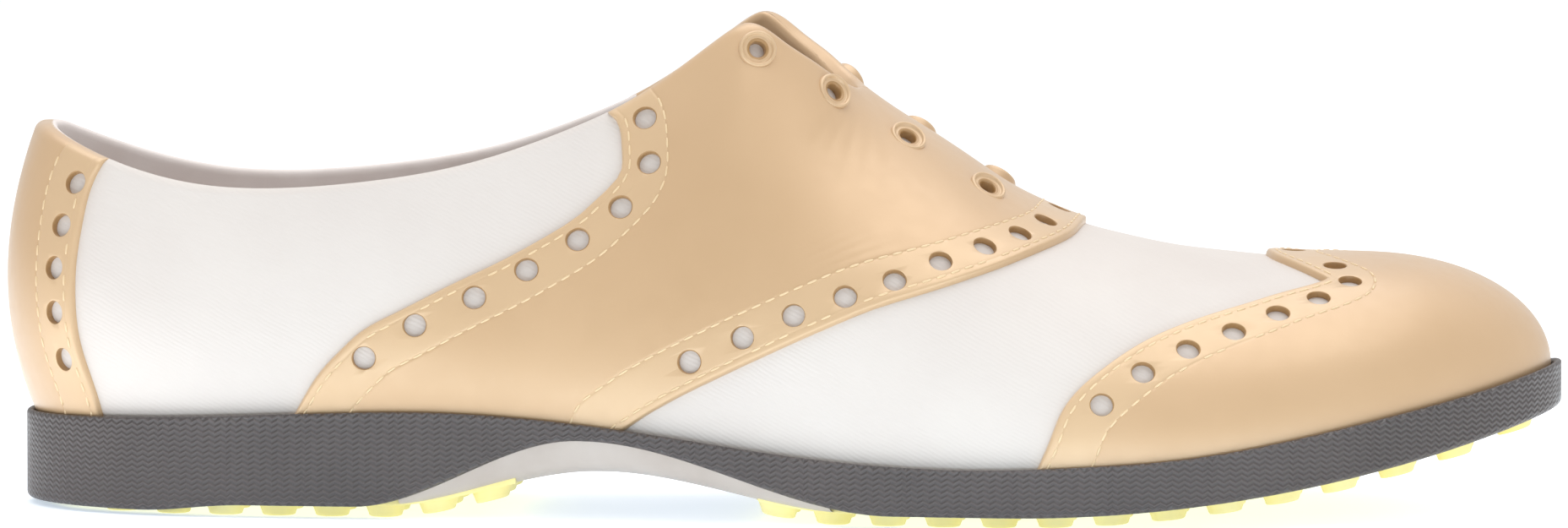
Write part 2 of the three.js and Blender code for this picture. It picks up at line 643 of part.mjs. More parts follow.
function footbed() {
  const cup = (x) => HEEL_CUP_RISE * (1 - easeBetween(-70, -10, x));
  const topZ = (x) => footbedFloor(x) + FOOTBED_THICK;
  return soleSlab(wholeSole, [
    { inset: FOOTBED_INSET + 14, z: topZ },
    { inset: FOOTBED_INSET + 5, z: (x) => topZ(x) + 0.6 * cup(x) },
    { inset: FOOTBED_INSET + 1.2, z: (x) => topZ(x) + cup(x) },
    { inset: FOOTBED_INSET, z: (x) => topZ(x) + cup(x) - 0.8 },
    { inset: FOOTBED_INSET, z: footbedFloor },
  ]);
}

// ---- the shoe -----------------------------------------------------------------------------------
const shoe = new THREE.Group();

function addPart(name, geometry, look) {
  geometry.computeVertexNormals();
  const mesh = new THREE.Mesh(geometry, new THREE.MeshStandardMaterial(look));
  mesh.name = name;
  shoe.add(mesh);
}

addPart("upper_shell", upperShell(), WHITE);
addPart("heel_counter", heelCounter(), GOLD);
addPart("saddle", saddle(), GOLD);
addPart("toe_cap", toeCap(), GOLD);
addPart("outsole", outsole(), SIDEWALL);
addPart("arch_shank", archShank(), WHITE);
addPart("heel_tread", tread(HEEL_STUDS), STUD_YELLOW);
addPart("forefoot_tread", tread(FOREFOOT_STUDS), STUD_YELLOW);
addPart("lasting_board", lastingBoard(), BOARD_GREY);
addPart("footbed", footbed(), FOOTBED_GREY);
for (const [sideName, side] of [["lateral", -1], ["medial", 1]]) {
  EYELETS.forEach((place, i) => addPart(`eyelet_${sideName}_${i + 1}`, eyelet(place, side), GOLD));
}

export default shoe;
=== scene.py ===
"""A golf shoe: laceless moulded wingtip on a studded sole. Shapes are worked out in millimetres."""

import math

import bmesh
import bpy
import numpy as np
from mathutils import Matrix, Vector


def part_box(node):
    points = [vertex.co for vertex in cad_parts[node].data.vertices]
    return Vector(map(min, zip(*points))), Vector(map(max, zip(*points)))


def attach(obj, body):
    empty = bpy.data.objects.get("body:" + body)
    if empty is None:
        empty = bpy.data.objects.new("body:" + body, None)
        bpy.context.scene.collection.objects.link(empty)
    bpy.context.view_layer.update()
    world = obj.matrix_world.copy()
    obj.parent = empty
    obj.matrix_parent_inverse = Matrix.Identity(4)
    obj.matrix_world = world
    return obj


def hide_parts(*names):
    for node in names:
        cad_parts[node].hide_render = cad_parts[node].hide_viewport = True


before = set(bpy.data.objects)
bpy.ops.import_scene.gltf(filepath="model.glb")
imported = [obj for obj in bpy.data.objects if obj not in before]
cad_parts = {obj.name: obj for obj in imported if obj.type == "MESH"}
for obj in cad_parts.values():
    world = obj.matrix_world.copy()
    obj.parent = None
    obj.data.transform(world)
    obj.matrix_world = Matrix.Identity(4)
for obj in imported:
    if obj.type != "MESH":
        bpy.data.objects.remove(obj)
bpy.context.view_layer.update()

MM = 0.001

# ---- driving dimensions, as in the CAD ----------------------------------------------------------
HEEL_BULGE = 1.6  # the heel end swells out this far beyond the even outline
sole_start, sole_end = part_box("outsole")
HEEL_X = sole_start.x / MM + HEEL_BULGE
TOE_X = sole_end.x / MM
HEEL_Y, TOE_Y = 2, 10.5
MID_X = (HEEL_X + TOE_X) / 2
HALF_LENGTH = (TOE_X - HEEL_X) / 2
GAP = 0.3
STUD_REACH = 2.4
UPPER_INSET = 3.5
UPPER_WALL = 3
OVERLAY_FACE = 1.4  # outer face of an overlay above the upper
LIP_GROOVE = 1.5
LIP_DEPTH = 1.6
FEATHER_DROP = 1.1
FOOTBED_INSET = 7.6
FOOTBED_THICK = 4.2
BOARD_THICK = 1.6
HEEL_CUP_RISE = 3.5
STUD_DIAMETER = 7.7
STUD_PITCH = 11
STUD_SPREAD = 13.5
STUD_INSET = 9.3
HEEL_STUDS = (HEEL_X + STUD_INSET, -55)
FOREFOOT_STUDS = (1.6, TOE_X - STUD_INSET)
PLATE_MARGIN = 4.6
PLATE_INSET = STUD_INSET - PLATE_MARGIN
PLATE_THICK = 1.2
SHANK = (-73, 12)
PERFORATION_RADIUS = 2.2
BORE_REACH = 9  # the cutters reach this far to either side of the skin
THROAT = 0.536

# Half outlines of the sole: x, y.
LATERAL = [
    (-143, -17.5), (-125, -31.5), (-95, -37), (-55, -39.5), (-15, -43.5),
    (25, -51), (50, -53.3), (85, -49), (115, -38), (138, -20.5),
]
MEDIAL = [
    (-143, 21.5), (-125, 34), (-95, 37.8), (-55, 34.5), (-20, 35),
    (15, 41.5), (50, 50.7), (80, 53.3), (112, 49), (135, 39.5),
]

# Height of the outsole's lip along the shoe: x, z.
LIP = [
    (-149, 18.5), (-118, 19.5), (-85, 20.8), (-70, 21.1), (-49, 20.2), (-19, 16.8), (1, 14.1),
    (21, 12.3), (41, 11.7), (61, 12.4), (81, 13.8), (100, 16.8), (119, 20.8), (139, 25.4), (152.6, 29.2),
]

# The collar's edge: p, x, half width, z.
COLLAR = [
    (0, -147, 0, 75.4), (0.06, -144.7, 11, 74.2), (0.11, -138, 18, 71.2), (0.147, -131, 22.2, 68.6),
    (0.2086, -115, 27, 64.7), (0.257, -100, 29.2, 63.9), (0.3126, -80, 29.6, 65.4), (0.362, -60, 28, 69),
    (0.408, -40, 25.4, 75.9), (0.43, -30, 24, 80.6), (0.4526, -19, 22.6, 87.8), (0.47, -11, 21.6, 93.8),
    (0.485, -4.5, 20.4, 96.2), (0.497, 1, 18.6, 92.4), (0.508, 6, 16, 88.6), (0.518, 9.8, 12.6, 85.2),
    (0.528, 12.9, 7.2, 82.8), (THROAT, 14, 0, 82.2),
]

# The ridge over the instep and toe: its x along p, and its height x, z.
RIDGE_X = [
    (THROAT, 14), (0.545, 18.5), (0.56, 26.5), (0.5835, 38), (0.629, 58),
    (0.678, 77), (0.732, 93), (0.796, 104.5), (0.8875, 111), (1, 113),
]
RIDGE_Z = [
    (14, 82.2), (18.5, 78.8), (29, 72), (36, 67.3), (43, 62.6), (50, 59), (58.7, 55.6),
    (66, 53.7), (76.7, 51.5), (86, 50.4), (95, 49.5), (103, 49.1), (115, 48.9),
]
CENTRE_Y = [(-150, 2), (-60, 2), (14, 3), (60, 5), (100, 7), (115, 8.5)]

# How full the skin is: p, outward and upward reach of the lower handle, outward and downward
# reach of the upper handle.
FULLNESS = [
    (0, 8.5, 20, 7, 20), (0.147, 8, 19, 7, 17), (0.257, 5, 17, 5, 15), (0.3126, 4, 18, 5.5, 16),
    (0.362, 3.5, 19, 6.5, 18), (0.408, 3, 21, 8, 20), (0.4526, 3, 26, 10, 21), (0.485, 3, 30, 12, 19),
    (0.508, 3, 32, 14, 13), (0.528, 3, 33, 18, 4), (THROAT, 3, 33, 20, 1.5), (0.56, 3, 31, 24, 0),
    (0.6, 3, 27, 28, 0), (0.65, 2.5, 23, 30, 0), (0.7, 2, 20, 29, 0), (0.8, 1.5, 17, 27, 0),
    (0.9, 1, 14, 24, 0), (1, 1, 12.5, 20, 0),
]

# Edges of the overlays on the skin: t, p from the sole up.
HEEL_COUNTER_EDGE = [
    (0, 0.143), (0.1, 0.142), (0.2, 0.138), (0.3, 0.134), (0.4, 0.1325), (0.6, 0.132), (0.75, 0.133),
    (0.9, 0.135), (1, 0.141),
]
SADDLE_REAR_EDGE = [
    (0, 0.28), (0.1, 0.288), (0.18, 0.295), (0.29, 0.308), (0.365, 0.319), (0.42, 0.332), (0.475, 0.345),
    (0.545, 0.363), (0.6, 0.381), (0.65, 0.398), (0.69, 0.412), (0.73, 0.421), (0.76, 0.428),
    (0.815, 0.431), (0.885, 0.43), (0.96, 0.427), (1, 0.423),
]
SADDLE_FRONT_EDGE = [
    (0, 0.4325), (0.02, 0.4365), (0.065, 0.4455), (0.1, 0.4545), (0.13, 0.4635), (0.16, 0.4745),
    (0.1875, 0.485), (0.235, 0.503), (0.2775, 0.521), (0.3225, 0.539), (0.3525, 0.55), (0.4, 0.564),
    (0.4625, 0.578), (0.5425, 0.5925), (0.64, 0.607), (0.7325, 0.618), (0.8225, 0.6255), (0.915, 0.629),
    (1, 0.631),
]
TOE_CAP_WING = [
    (0, 0.609), (0.09, 0.616), (0.163, 0.621), (0.223, 0.628), (0.302, 0.641), (0.395, 0.659),
    (0.458, 0.675), (0.512, 0.693), (0.565, 0.714), (0.623, 0.738), (0.665, 0.76), (0.69, 0.77),
]
TOE_CAP_PEAK = [(0.69, 0.77), (0.77, 0.759), (0.85, 0.748), (0.92, 0.74), (1, 0.738)]

# Centres of the perforations: p, t on each side.
HEEL_HOLES = [(0.1215, 0.878), (0.1165, 0.713), (0.114, 0.552), (0.1145, 0.388), (0.119, 0.22)]
SADDLE_REAR_HOLES = [
    (0.44, 0.905), (0.443, 0.758), (0.432, 0.667), (0.414, 0.61), (0.392, 0.542), (0.369, 0.46),
    (0.342, 0.36), (0.318, 0.233),
]
SADDLE_FRONT_HOLES = [
    (0.463, 0.198), (0.485, 0.247), (0.506, 0.298), (0.528, 0.34), (0.549, 0.393), (0.568, 0.478),
    (0.586, 0.58), (0.601, 0.69), (0.612, 0.815),
]
TOE_CAP_HOLES = [
    (0.639, 0.182), (0.658, 0.283), (0.68, 0.365), (0.704, 0.43), (0.73, 0.503), (0.758, 0.568),
    (0.787, 0.657), (0.785, 0.785),
]
RIDGE_HOLES = [(0.618, 1), (0.765, 1)]  # one on the ridge in front of each V
EYELETS = [(0.486, 0.915), (0.518, 0.9), (0.554, 0.83), (0.586, 0.835)]
LATERAL_SIDE, MEDIAL_SIDE = -1, 1
SIDES = (LATERAL_SIDE, MEDIAL_SIDE)


# ---- curves -------------------------------------------------------------------------------------
def spline(points):
    """Natural cubic through (x, y) points, held flat beyond its ends."""
    x, y = np.array(points, float).T
    n = len(x)
    gap = np.diff(x)
    slope = np.diff(y) / gap
    system = np.eye(n)
    jump = np.zeros(n)
    for i in range(1, n - 1):
        system[i, i - 1 : i + 2] = gap[i - 1], 2 * (gap[i - 1] + gap[i]), gap[i]
        jump[i] = 6 * (slope[i] - slope[i - 1])
    bend = np.linalg.solve(system, jump)

    def at(place):
        q = np.clip(place, x[0], x[-1])
        k = np.clip(np.searchsorted(x, q) - 1, 0, n - 2)
        h = gap[k]
        a = (x[k + 1] - q) / h
        b = 1 - a
        return a * y[k] + b * y[k + 1] + ((a**3 - a) * bend[k] + (b**3 - b) * bend[k + 1]) * h * h / 6

    return at


def column(rows, i):
    return spline([(row[0], row[i]) for row in rows])


def ease(start, end, x):
    k = np.clip((x - start) / (end - start), 0, 1)
    return k * k * (3 - 2 * k)


def unit(v):
    return v / np.maximum(np.linalg.norm(v, axis=-1, keepdims=True), 1e-12)


# ---- the sole outline and heights ---------------------------------------------------------------
def phase_at(x):
    return np.arccos(np.clip(-(x - MID_X) / HALF_LENGTH, -1, 1))


loop = [(0, HEEL_Y)] + [(phase_at(x), y) for x, y in LATERAL] + [(math.pi, TOE_Y)]
loop += [(2 * math.pi - phase_at(x), y) for x, y in reversed(MEDIAL)]
outline_y = spline([(a + 2 * math.pi * turn, y) for turn in (-1, 0, 1) for a, y in loop])


def outline_point(phase):
    from_heel = np.abs(np.arctan2(np.sin(phase), np.cos(phase)))
    bulge = HEEL_BULGE * (1 - ease(0, 0.5, from_heel))
    return np.stack([MID_X - HALF_LENGTH * np.cos(phase) - bulge, outline_y(phase)], -1)


def outline_normal(phase):
    step = 1e-4
    along = outline_point(phase + step) - outline_point(phase - step)
    return unit(np.stack([along[..., 1], -along[..., 0]], -1))


def outline(phase, inset):
    return outline_point(phase) - outline_normal(phase) * inset


lip_z = spline(LIP)


def toe_spring(x):
    return 17.7 * (np.maximum(x - 48, 0) / 104) ** 2


def arch_wave(x, rise, start, peak, end):
    return rise * ease(start, peak, x) * (1 - ease(peak + 1, end, x))


def bottom_z(x):
    """Height of the tread's face."""
    return STUD_REACH + arch_wave(x, 6.9, -76, -34, 15) + toe_spring(x)


def side_bottom_z(x):
    """Height of the sidewall's foot, which reaches lower behind the heel."""
    skirt = 1.4 * (1 - ease(-125, -104, x))
    return STUD_REACH - skirt + arch_wave(x, 13.4, -82, -38, 24) + toe_spring(x)


# ---- the skin over the last ---------------------------------------------------------------------
collar_x, collar_half, collar_z = (column(COLLAR, i) for i in (1, 2, 3))
low_out, low_up, high_out, high_down = (column(FULLNESS, i) for i in (1, 2, 3, 4))
ridge_x = spline(RIDGE_X)
ridge_z = spline(RIDGE_Z)
centre_y = spline(CENTRE_Y)


def ridge_slope(x):
    return ridge_z(x + 0.5) - ridge_z(x - 0.5)


def sharp_skin(p, t, side):
    """Points of the skin at p along one side and t up it, creased below the throat."""
    phase = np.pi * p if side < 0 else 2 * np.pi - np.pi * p
    foot = outline(phase, UPPER_INSET)
    away = outline_normal(phase)
    on_ridge = p >= THROAT
    top_x = np.where(on_ridge, ridge_x(p), collar_x(p))
    half = np.where(on_ridge, 0, side * np.maximum(collar_half(p), 0))
    top_z = np.where(on_ridge, ridge_z(top_x), collar_z(p))
    top = np.stack([top_x, centre_y(top_x) + half, top_z], -1)
    fan = ease(0.3, 0.5, p)[..., None]
    out = unit(away * (1 - fan) + unit(foot - top[..., :2]) * fan)
    start = np.concatenate([foot, (lip_z(foot[..., 0]) - FEATHER_DROP)[..., None]], -1)
    low = start + np.stack([away[..., 0] * low_out(p), away[..., 1] * low_out(p), low_up(p)], -1)
    reach = high_out(p)
    lean = ridge_slope(np.maximum(top_x, RIDGE_Z[0][0])) * ease(0.5, THROAT, p)
    rise = lean * out[..., 0] * reach - np.maximum(high_down(p), 0)
    high = top + np.stack([out[..., 0] * reach, out[..., 1] * reach, rise], -1)
    k = t[..., None]
    s = 1 - k
    return start * s**3 + low * 3 * k * s * s + high * 3 * k * k * s + top * k**3


SMOOTH_REACH = 0.026  # of the window in p that smooths the crease
SMOOTH_WINDOW = ((-1, 1), (-0.66, 2), (-0.33, 3), (0, 3), (0.33, 3), (0.66, 2), (1, 1))  # share, weight


def skin(p, t, side):
    """The skin, with the crease that runs down from the throat smoothed out below its top."""
    p, t = np.broadcast_arrays(np.asarray(p, float), np.asarray(t, float))
    near = 1 - ease(0.02, 0.07, np.abs(p - THROAT))
    reach = SMOOTH_REACH * near * np.clip((1 - t) / 0.3, 0, 1)
    total = 0
    for share, weight in SMOOTH_WINDOW:
        total = total + weight * sharp_skin(p + share * reach, t, side)
    return total / sum(weight for _, weight in SMOOTH_WINDOW)


def skin_normal(p, t, side):
    """Outward normals of the skin; the two sides agree on the ridge and down the heel and toe."""
    p, t = np.broadcast_arrays(np.asarray(p, float), np.asarray(t, float))
    step = 1e-3
    pq = np.clip(p, step, 1 - step)
    tq = np.clip(t, step, 1 - step)

    def normal_on(s):
        along_p = skin(pq + step, tq, s) - skin(pq - step, tq, s)
        along_t = skin(pq, tq + step, s) - skin(pq, tq - step, s)
        return unit(np.cross(along_p, along_t) * -s)

    normal = normal_on(side)
    shared = ((p < step) | (p > 1 - step))[..., None]
    normal = np.where(shared, unit(normal + normal_on(-side)), normal)
    level = np.maximum(1 - t / 0.1, 0)
    square = np.where(p < THROAT, np.maximum((t - 0.9) / 0.1, 0) * (1 - ease(0.47, THROAT, p)), 0)
    normal[..., 2] *= 1 - np.maximum(level, square)
    slope = ridge_slope(ridge_x(p))
    on_ridge = unit(np.stack([-slope, np.zeros_like(slope), np.ones_like(slope)], -1))
    top = ((p >= THROAT) & (t > 1 - 1e-9))[..., None]
    return np.where(top, on_ridge, unit(normal))


def raised(p, t, side, height):
    return skin(p, t, side) + skin_normal(p, t, side) * np.asarray(height)[..., None]


def arc_lengths(line):
    """Length along a polyline up to each of its points."""
    return np.concatenate([[0], np.cumsum(np.linalg.norm(np.diff(line, axis=0), axis=-1))])


def distance_to(line, points):
    """Distance from each point to a polyline of 3-D points."""
    flat = points.reshape(-1, 3)
    a, b = line[:-1], line[1:]
    along = b - a
    length2 = np.maximum((along**2).sum(-1), 1e-12)
    best = np.full(len(flat), np.inf)
    batch = 4096
    for start in range(0, len(flat), batch):
        chunk = flat[start : start + batch, None]
        k = np.clip(((chunk - a) * along).sum(-1) / length2, 0, 1)
        gap = chunk - a - along * k[..., None]
        best[start : start + batch] = np.sqrt((gap**2).sum(-1)).min(-1)
    return best.reshape(points.shape[:-1])


collar_line = np.concatenate([
    skin(np.linspace(0, THROAT, 400), 1.0, LATERAL_SIDE),
    skin(np.linspace(THROAT, 0, 400), 1.0, MEDIAL_SIDE),
])


def rounding(radius, distance):
    """How far a face falls back at a distance from an edge that is rounded to a radius."""
    inside = radius - np.clip(distance, 0, radius)
    return radius - np.sqrt(np.maximum(radius * radius - inside * inside, 0))


# ---- meshes -------------------------------------------------------------------------------------
class Facets:
    """Collects grids of points, in millimetres, into one mesh."""

    def __init__(self):
        self.points = []
        self.faces = []
        self.slots = []
        self.count = 0

    def grid(self, points, slots=0):
        rows, columns = points.shape[:2]
        at = np.arange(rows * columns).reshape(rows, columns) + self.count
        quads = np.stack([at[:-1, :-1], at[1:, :-1], at[1:, 1:], at[:-1, 1:]], -1).reshape(-1, 4)
        self.points.append(points.reshape(-1, 3))
        self.faces.append(quads)
        self.slots.append(np.broadcast_to(slots, (rows - 1, columns - 1)).reshape(-1))
        self.count += rows * columns

    def object(self, name, materials, sharp=40):
        mesh = bpy.data.meshes.new(name)
        points = np.concatenate(self.points) * MM
        mesh.from_pydata(points.tolist(), [], np.concatenate(self.faces).tolist())
        mesh.polygons.foreach_set("material_index", np.concatenate(self.slots).astype(np.int32))
        work = bmesh.new()
        work.from_mesh(mesh)
        bmesh.ops.remove_doubles(work, verts=work.verts, dist=2e-6)
        bmesh.ops.dissolve_degenerate(work, edges=work.edges, dist=1e-7)
        bmesh.ops.recalc_face_normals(work, faces=work.faces)
        work.to_mesh(mesh)
        work.free()
        return finish_object(name, mesh, materials, sharp)


def finish_object(name, mesh, materials, sharp):
    for material in materials:
        mesh.materials.append(material)
    mesh.shade_smooth()
    mesh.set_sharp_from_angle(angle=math.radians(sharp))
    obj = bpy.data.objects.new(name, mesh)
    bpy.context.scene.collection.objects.link(obj)
    return obj


def apply_modifiers(obj):
    graph = bpy.context.evaluated_depsgraph_get()
    mesh = bpy.data.meshes.new_from_object(obj.evaluated_get(graph))
    obj.modifiers.clear()
    old = obj.data
    obj.data = mesh
    bpy.data.meshes.remove(old)


def revolve(profile, sides):
    """Rings of a profile of (radius, height) turned about +Z: an array of profile x side points."""
    turn = np.linspace(0, 2 * np.pi, sides + 1)
    radius, height = np.array(profile, float).T
    return np.stack([
        radius[:, None] * np.cos(turn), radius[:, None] * np.sin(turn),
        np.broadcast_to(height[:, None], (len(profile), sides + 1)),
    ], -1)


def frame_on_skin(p, t, side, tilt=0.0):
    """Centre and three axes of a place on the skin. The last axis is the outward normal, or leans
    from it towards the side of the shoe by a share."""
    normal = unit(skin_normal(p, t, side) + np.array([0, side * tilt, 0]))
    guide = np.array([0.0, 0.0, 1.0]) if abs(normal[2]) < 0.9 else np.array([1.0, 0.0, 0.0])
    across = unit(np.cross(normal, guide))
    return skin(p, t, side), np.stack([across, np.cross(normal, across), normal])


def drill(obj, places, slot):
    """Cuts flared round holes through obj. Their walls take the material in that slot."""
    mouth = OVERLAY_FACE
    flare = 0.25
    radius = PERFORATION_RADIUS
    profile = [
        (0, -BORE_REACH), (radius, -BORE_REACH), (radius, mouth - flare),
        (radius + flare * 0.4, mouth - flare * 0.3), (radius + flare, mouth),
        (radius + flare, BORE_REACH), (0, BORE_REACH),
    ]
    cutter = Facets()
    for p, t, side in places:
        centre, axes = frame_on_skin(p, t, side)
        cutter.grid(revolve(profile, 36) @ axes + centre, slot)
    tool = cutter.object("cutter", obj.data.materials)
    cut(obj, tool)


def cut(obj, *tools):
    for tool in tools:
        modifier = obj.modifiers.new("cut", "BOOLEAN")
        modifier.operation = "DIFFERENCE"
        modifier.solver = "MANIFOLD"
        modifier.object = tool
    apply_modifiers(obj)
    for tool in tools:
        bpy.data.objects.remove(tool)
    obj.data.shade_smooth()
    obj.data.set_sharp_from_angle(angle=math.radians(40))


def on_both_sides(places):
    return [(p, t, side) for p, t in places for side in SIDES]


heel_places = on_both_sides(HEEL_HOLES)
saddle_places = on_both_sides(SADDLE_REAR_HOLES + SADDLE_FRONT_HOLES) + [(*RIDGE_HOLES[0], MEDIAL_SIDE)]
toe_places = on_both_sides(TOE_CAP_HOLES) + [(*RIDGE_HOLES[1], MEDIAL_SIDE)]


# ---- materials ----------------------------------------------------------------------------------
def srgb(red, green, blue):
    def linear(c):
        c /= 255
        return c / 12.92 if c <= 0.04045 else ((c + 0.055) / 1.055) ** 2.4

    return (linear(red), linear(green), linear(blue), 1)


class Material:
    """A Principled surface whose nodes are added one by one."""

    def __init__(self, name, colour, roughness, **sockets):
        self.material = bpy.data.materials.new(name)
        self.material.use_nodes = True
        self.nodes = self.material.node_tree.nodes
        self.links = self.material.node_tree.links
        self.shader = self.nodes["Principled BSDF"]
        self.shader.inputs["Base Color"].default_value = colour
        self.shader.inputs["Roughness"].default_value = roughness
        for socket, value in sockets.items():
            self.shader.inputs[socket.replace("_", " ")].default_value = value
        self.place = self.nodes.new("ShaderNodeTexCoord").outputs["Object"]
        self.bump_out = None

    def node(self, kind, inputs=None, **settings):
        made = self.nodes.new(kind)
        for name, value in settings.items():
            setattr(made, name, value)
        for name, value in (inputs or {}).items():
            if isinstance(value, bpy.types.NodeSocket):
                self.links.new(value, made.inputs[name])
            else:
                made.inputs[name].default_value = value
        return made

    def math(self, operation, a, b=0.0):
        return self.node("ShaderNodeMath", {0: a, 1: b}, operation=operation).outputs[0]

    def noise(self, scale, detail=2.0, roughness=0.5):
        inputs = {"Vector": self.place, "Scale": scale, "Detail": detail, "Roughness": roughness}
        return self.node("ShaderNodeTexNoise", inputs).outputs[0]

    def ramp(self, value, low, high):
        inputs = {"Value": value, "From Min": 0.3, "From Max": 0.7, "To Min": low, "To Max": high}
        return self.node("ShaderNodeMapRange", inputs).outputs[0]

    def mottle(self, value, dark, light):
        """Base colour between two colours by a 0..1 value."""
        mix = self.node("ShaderNodeMix", {0: value}, data_type="RGBA")
        mix.inputs[6].default_value = dark
        mix.inputs[7].default_value = light
        self.links.new(mix.outputs[2], self.shader.inputs["Base Color"])

    def vary_roughness(self, value, low, high):
        self.links.new(self.ramp(value, low, high), self.shader.inputs["Roughness"])

    def bump(self, height, distance, strength=1.0):
        inputs = {"Height": height, "Distance": distance * MM, "Strength": strength}
        if self.bump_out is not None:
            inputs["Normal"] = self.bump_out
        self.bump_out = self.node("ShaderNodeBump", inputs).outputs[0]
        self.links.new(self.bump_out, self.shader.inputs["Normal"])

    def split(self, vector):
        return self.node("ShaderNodeSeparateXYZ", {0: vector}).outputs


def moulded_white(name, colour, warm):
    """Foam skin with fine wavy slanting lines, like a rubbed wood grain."""
    made = Material(name, colour, 0.5, Specular_IOR_Level=0.35)
    slant = made.node(
        "ShaderNodeMapping", {"Vector": made.place, "Rotation": (0.25, math.radians(62), 0.2)}
    ).outputs[0]
    wave = made.node(
        "ShaderNodeTexWave",
        {"Vector": slant, "Scale": 400.0, "Distortion": 5.0, "Detail": 2.5, "Detail Scale": 0.35},
        wave_type="BANDS",
        bands_direction="X",
    ).outputs[1]
    made.bump(wave, 0.035, 0.8)
    made.bump(made.noise(2600, 3), 0.02, 0.6)
    made.mottle(made.ramp(made.noise(28), 0, 1), warm, colour)
    made.vary_roughness(made.noise(160, 3), 0.42, 0.56)
    return made.material


def satin_gold(name, dark, light, roughness):
    """Satin lacquered foam: a metallic paint with fine grain."""
    made = Material(name, light, roughness, Metallic=0.22, Specular_IOR_Level=0.5)
    made.shader.inputs["Coat Weight"].default_value = 0.8
    made.shader.inputs["Coat Roughness"].default_value = 0.34
    made.mottle(made.ramp(made.noise(22, 3), 0, 1), dark, light)
    made.vary_roughness(made.noise(300, 3), roughness - 0.05, roughness + 0.07)
    made.bump(made.noise(1500, 4), 0.02, 0.7)
    return made.material


def twill_rubber(name):
    """Dark moulded sidewall with rows of fine zigzag ribs. Its colour is paler on the rib crests and darker
    between them, a painted highlight and shade that follow the ribs, mixed with random tone.
    """
    made = Material(name, srgb(80, 70, 68), 0.4, Specular_IOR_Level=1)
    flow = made.node("ShaderNodeAttribute", attribute_name="flow").outputs["Vector"]
    along, up, _ = made.split(flow)
    zigzag = made.node("ShaderNodeMath", {0: along, 1: 1.15}, operation="PINGPONG").outputs[0]
    row = made.math("MULTIPLY", made.math("ADD", up, made.math("MULTIPLY", zigzag, 0.55)), 2 * math.pi / 1.05)
    rib = made.math("ADD", made.math("MULTIPLY", made.math("SINE", row), 0.5), 0.5)
    made.bump(rib, 0.22, 1.0)
    made.bump(made.noise(1800, 3), 0.03, 0.7)
    # Painted highlight and shade: the colour is paler where the ribs rise and darker between them, plus
    # random tone from noise.
    mix = made.math("ADD", made.math("MULTIPLY", rib, 0.45), made.math("MULTIPLY", made.noise(60, 3), 0.6))
    made.mottle(mix, srgb(28, 22, 22), srgb(73, 63, 62))
    made.vary_roughness(made.noise(240, 2), 0.34, 0.48)
    return made.material


def plain_rubber(name, dark, light, roughness):
    made = Material(name, light, roughness, Specular_IOR_Level=0.4)
    made.mottle(made.ramp(made.noise(90, 3), 0, 1), dark, light)
    made.vary_roughness(made.noise(350, 3), roughness - 0.06, roughness + 0.08)
    made.bump(made.noise(1600, 3), 0.025, 0.6)
    return made.material


def woven(name, dark, light, pitch):
    """Cloth with over-and-under threads of a given pitch in millimetres."""
    made = Material(name, light, 0.85, Specular_IOR_Level=0.25)
    made.shader.inputs["Sheen Weight"].default_value = 0.25
    made.shader.inputs["Sheen Roughness"].default_value = 0.5
    along, across, _ = made.split(made.place)
    turn = 2 * math.pi / (pitch * MM)
    warp = made.math("SINE", made.math("MULTIPLY", along, turn))
    weft = made.math("SINE", made.math("MULTIPLY", across, turn))
    weave = made.math("ADD", made.math("MULTIPLY", made.math("MULTIPLY", warp, weft), 0.5), 0.5)
    made.bump(weave, 0.16, 0.9)
    made.bump(made.noise(3000, 3), 0.05, 0.8)
    worn = made.math("MULTIPLY", made.noise(70), 0.4)
    made.mottle(made.math("ADD", made.math("MULTIPLY", weave, 0.6), worn), dark, light)
    made.vary_roughness(made.noise(500), 0.78, 0.94)
    return made.material


def fibreboard(name):
    made = Material(name, srgb(185, 178, 166), 0.9)
    made.mottle(made.ramp(made.noise(900, 5, 0.7), 0, 1), srgb(160, 151, 137), srgb(203, 197, 186))
    made.bump(made.noise(2200, 4), 0.06, 0.8)
    made.vary_roughness(made.noise(700), 0.84, 0.96)
    return made.material


white_look = moulded_white("white_foam", srgb(219, 213, 208), srgb(213, 206, 201))
lining_look = plain_rubber("inner_face", srgb(226, 217, 213), srgb(234, 227, 224), 0.7)
gold_look = satin_gold("satin_gold", srgb(198, 164, 124), srgb(206, 173, 134), 0.42)
strip_look = satin_gold("satin_gold_strip", srgb(203, 171, 132), srgb(212, 181, 142), 0.44)
# Lighter gold for the moulded stitches: a painted highlight on the raised dashes, which are the overlay's own
# gold.
lit_stitch_look = satin_gold("satin_gold_stitch_painted_highlight", srgb(222, 196, 155), srgb(232, 207, 167), 0.5)
# Darker gold for the walls of the perforations and the eyelets' bores: painted shade inside the holes.
shaded_bore_look = satin_gold("satin_gold_bore_painted_shade", srgb(163, 124, 76), srgb(174, 136, 86), 0.5)
sidewall_look = twill_rubber("twill_rubber")
arch_look = plain_rubber("white_arch_rubber", srgb(178, 168, 160), srgb(189, 181, 174), 0.42)
tread_look = plain_rubber("yellow_rubber", srgb(240, 226, 150), srgb(246, 235, 170), 0.45)
cloth_look = woven("footbed_cloth", srgb(188, 181, 179), srgb(216, 210, 207), 0.9)
foam_look = plain_rubber("footbed_foam", srgb(196, 190, 184), srgb(214, 208, 202), 0.9)
board_look = fibreboard("fibreboard")


# ---- the upper ----------------------------------------------------------------------------------
UPPER_P = np.concatenate([
    np.linspace(0, 0.47, 130)[:-1], np.linspace(0.47, 0.505, 24)[:-1],
    np.linspace(0.505, 0.556, 48)[:-1], np.linspace(0.556, 1, 104),
])
RIM_T = np.array([0.958, 0.966, 0.973, 0.98, 0.986, 0.991, 0.995, 0.998, 0.9995, 1])
UPPER_T = np.concatenate([np.linspace(0, 0.95, 42), RIM_T])


FLAP_START = 0.428  # p where the gold inside of the flaps begins
FLAP_LINING = 13  # its depth below the rim


def collar_distance(p, t, side):
    return distance_to(collar_line, skin(p, t, side))


